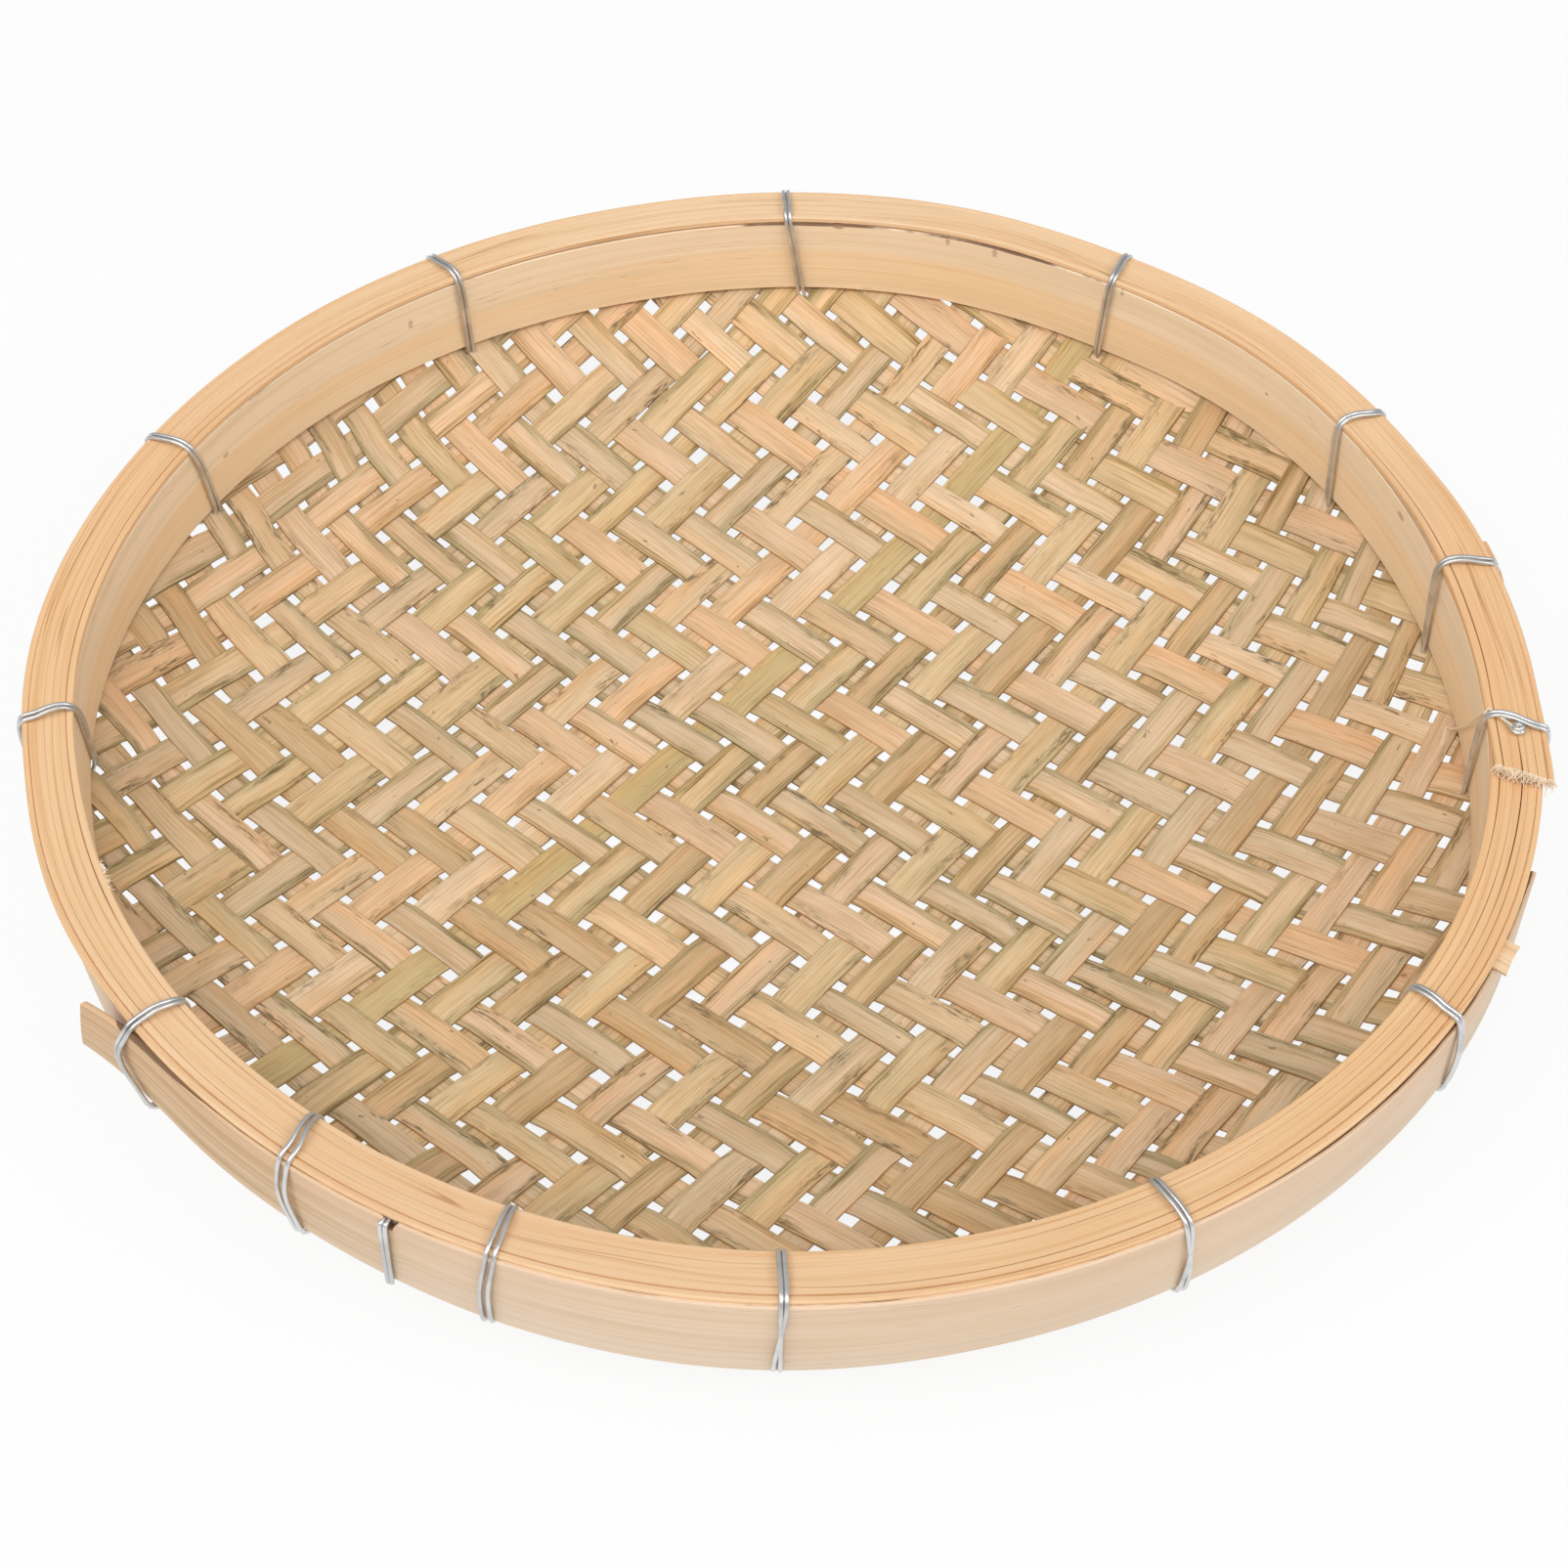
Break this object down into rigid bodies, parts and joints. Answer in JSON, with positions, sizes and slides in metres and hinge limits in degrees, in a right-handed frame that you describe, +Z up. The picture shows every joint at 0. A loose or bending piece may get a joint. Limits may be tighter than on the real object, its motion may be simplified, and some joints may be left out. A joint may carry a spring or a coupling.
{
  "type": "bamboo basket",
  "caption": "Round shallow woven bamboo basket: a twill mat of flat splints held in a double hoop with a split flat cap, bound with wire ties.",
  "frame": {"origin": "on the axis of the rim, at the height of the mat's lowest flat faces", "axes": "+Z up out of the open top, +X to the right and +Y away from the pictured front"},
  "size_m": [0.2996, 0.3029, 0.0455],
  "materials": {
    "hoop_bamboo": "dry split bamboo with fine grain, matte",
    "cap_bamboo": "peeled bamboo with lengthwise splits, matte",
    "straight_bamboo": "flat bamboo splint with greenish edges, soft sheen",
    "woven_bamboo": "flat bamboo splint with greenish edges, soft sheen",
    "tie_wire": "galvanised wire, slightly dull"
  },
  "bodies": {
    "root": {"inner_hoop": "hoop_bamboo", "filler_hoop": "hoop_bamboo", "outer_hoop": "hoop_bamboo", "lap_strip": "hoop_bamboo", "cap_strand_1": "cap_bamboo", "cap_strand_2": "cap_bamboo", "cap_strand_3": "cap_bamboo", "cap_strand_4": "cap_bamboo", "cap_strand_5": "cap_bamboo", "cap_strand_6": "cap_bamboo", "cap_strand_7": "cap_bamboo", "woven_strips": "woven_bamboo", "straight_strip_01": "straight_bamboo", "straight_strip_02": "straight_bamboo", "straight_strip_03": "straight_bamboo", "straight_strip_04": "straight_bamboo", "straight_strip_05": "straight_bamboo", "straight_strip_06": "straight_bamboo", "straight_strip_07": "straight_bamboo", "straight_strip_08": "straight_bamboo", "straight_strip_09": "straight_bamboo", "straight_strip_10": "straight_bamboo", "straight_strip_11": "straight_bamboo", "straight_strip_12": "straight_bamboo", "straight_strip_13": "straight_bamboo", "straight_strip_14": "straight_bamboo", "straight_strip_15": "straight_bamboo", "straight_strip_16": "straight_bamboo", "straight_strip_17": "straight_bamboo", "straight_strip_18": "straight_bamboo", "straight_strip_19": "straight_bamboo", "straight_strip_20": "straight_bamboo", "straight_strip_21": "straight_bamboo", "straight_strip_22": "straight_bamboo", "straight_strip_23": "straight_bamboo", "straight_strip_24": "straight_bamboo", "straight_strip_25": "straight_bamboo", "straight_strip_26": "straight_bamboo", "straight_strip_27": "straight_bamboo", "straight_strip_28": "straight_bamboo", "straight_strip_29": "straight_bamboo", "wire_tie_01": "tie_wire", "wire_tie_02": "tie_wire", "wire_tie_03": "tie_wire", "wire_tie_04": "tie_wire", "wire_tie_05": "tie_wire", "wire_tie_06": "tie_wire", "wire_tie_07": "tie_wire", "wire_tie_08": "tie_wire", "wire_tie_09": "tie_wire", "wire_tie_10": "tie_wire", "wire_tie_11": "tie_wire", "wire_tie_12": "tie_wire", "wire_tie_13": "tie_wire", "wire_tie_14": "tie_wire", "lap_tie": "tie_wire"}
  },
  "joints": []
}
